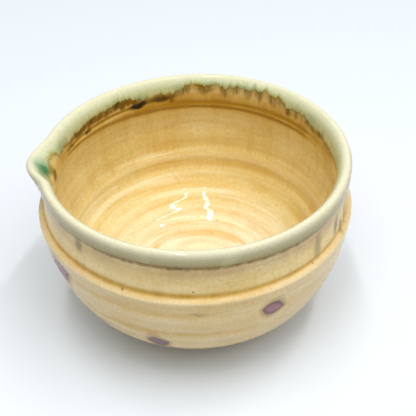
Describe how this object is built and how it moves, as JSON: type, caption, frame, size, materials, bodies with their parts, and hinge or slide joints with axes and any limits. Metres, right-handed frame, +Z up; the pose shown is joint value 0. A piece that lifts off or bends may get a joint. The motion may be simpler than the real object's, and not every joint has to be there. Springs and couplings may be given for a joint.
{
  "type": "spouted bowl",
  "caption": "Wheel-thrown stoneware tea bowl with a pouring lip pinched out of its rim, a waisted neck over a ledge, throwing rings, a foot ring and coats of yellow and grey-green glaze.",
  "frame": {"origin": "on the table, under the middle of the bowl's plan with the spout included", "axes": "+Z up out of the bowl, the spout points along -X, +Y to the bowl's left when the spout points at the reader"},
  "size_m": [0.1314, 0.1284, 0.078],
  "materials": {
    "stoneware": "bare fired stoneware, fine sandy buff clay",
    "yellow_glaze": "glossy amber-yellow ash glaze, pale on ridges and deep in grooves",
    "rim_glaze": "glossy grey-green glaze, running to olive and copper green"
  },
  "bodies": {
    "root": {"thrown_body": "stoneware", "foot_ring": "stoneware", "outer_glaze": "yellow_glaze", "rim_glaze": "rim_glaze", "liner_glaze": "yellow_glaze"}
  },
  "joints": []
}
